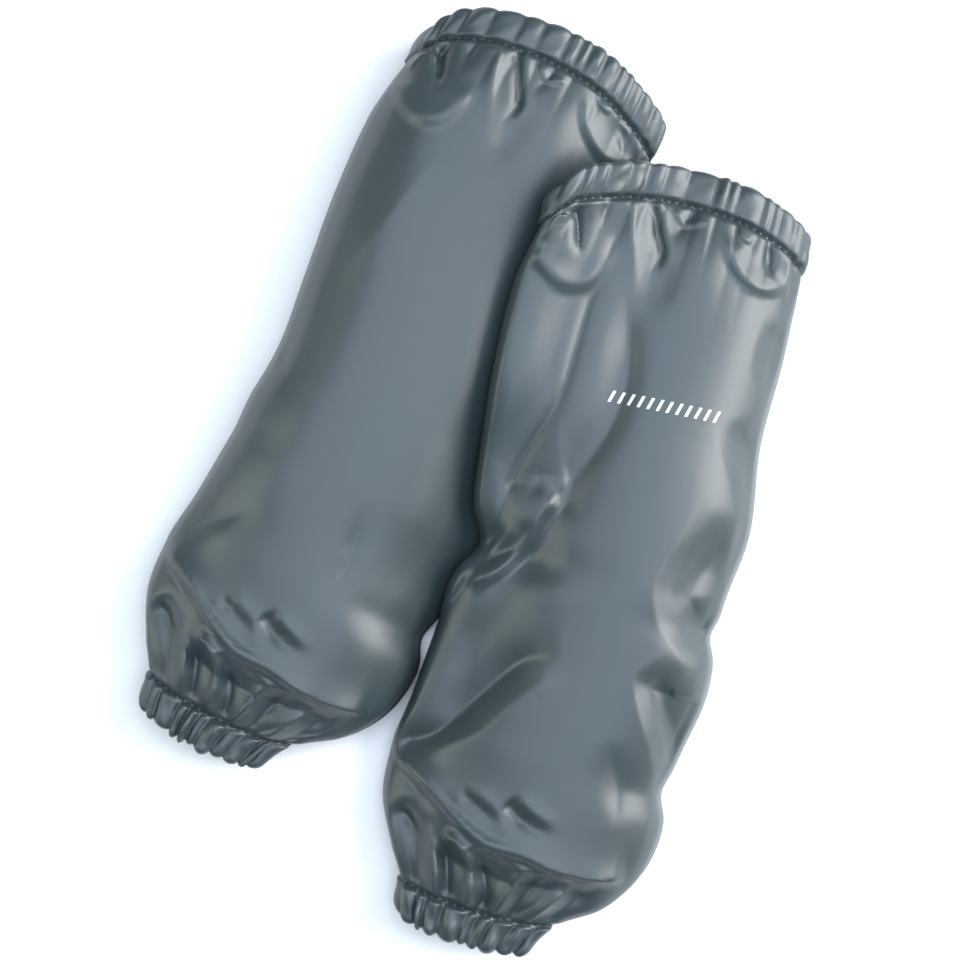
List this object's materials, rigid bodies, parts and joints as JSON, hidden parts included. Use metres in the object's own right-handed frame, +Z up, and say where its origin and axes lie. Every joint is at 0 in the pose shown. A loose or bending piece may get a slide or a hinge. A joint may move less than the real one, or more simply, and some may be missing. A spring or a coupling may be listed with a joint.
{
  "type": "gaiters",
  "caption": "Pull-on waterproof gaiters of coated cloth: straight tubes with an elastic-gathered wide mouth and a tight gathered cuff, lying one over the other.",
  "frame": {"origin": "middle of the pair's footprint, on the surface that it lies on", "axes": "+Y along the front gaiter from its cuff to its wide mouth, +Z up"},
  "size_m": [0.3245, 0.5114, 0.0573],
  "materials": {
    "coated_cloth": "PVC-coated polyester cloth, dark green-grey, satin gloss",
    "elastic_band": "flat knitted elastic, off-white",
    "sewing_thread": "twisted polyester thread, near black",
    "seam_tape": "heat-bonded tape, translucent grey",
    "print_ink": "screen-printed ink, off-white"
  },
  "bodies": {
    "rear_gaiter": {"rear_shell": "coated_cloth", "rear_seam_tape": "seam_tape", "rear_top_casing": "coated_cloth", "rear_top_elastic": "elastic_band", "rear_top_elastic_join": "elastic_band", "rear_top_stitching": "sewing_thread"},
    "rear_cuff": {"rear_cuff_casing": "coated_cloth", "rear_cuff_elastic": "elastic_band", "rear_cuff_elastic_join": "elastic_band", "rear_cuff_stitching": "sewing_thread"},
    "front_gaiter": {"front_shell": "coated_cloth", "front_seam_tape": "seam_tape", "front_top_casing": "coated_cloth", "front_top_elastic": "elastic_band", "front_top_elastic_join": "elastic_band", "front_top_stitching": "sewing_thread", "front_print": "print_ink"},
    "front_cuff": {"front_cuff_casing": "coated_cloth", "front_cuff_elastic": "elastic_band", "front_cuff_elastic_join": "elastic_band", "front_cuff_stitching": "sewing_thread"}
  },
  "joints": [
    {"name": "front_gaiter_lift", "type": "slide", "parent": "rear_gaiter", "child": "front_gaiter", "axis": [0, 0, 1], "range_m": [0, 0.15]},
    {"name": "rear_cuff_bend", "type": "hinge", "parent": "rear_gaiter", "child": "rear_cuff", "pos_m": [-0.08946, -0.12106, 0.00019], "axis": [0, 0, 1], "range_deg": [-18, 18], "deforming": ["rear_shell"]},
    {"name": "front_cuff_bend", "type": "hinge", "parent": "front_gaiter", "child": "front_cuff", "pos_m": [0.07196, -0.18358, 0.00019], "axis": [0, 0, 1], "range_deg": [-18, 18], "deforming": ["front_shell"]}
  ]
}
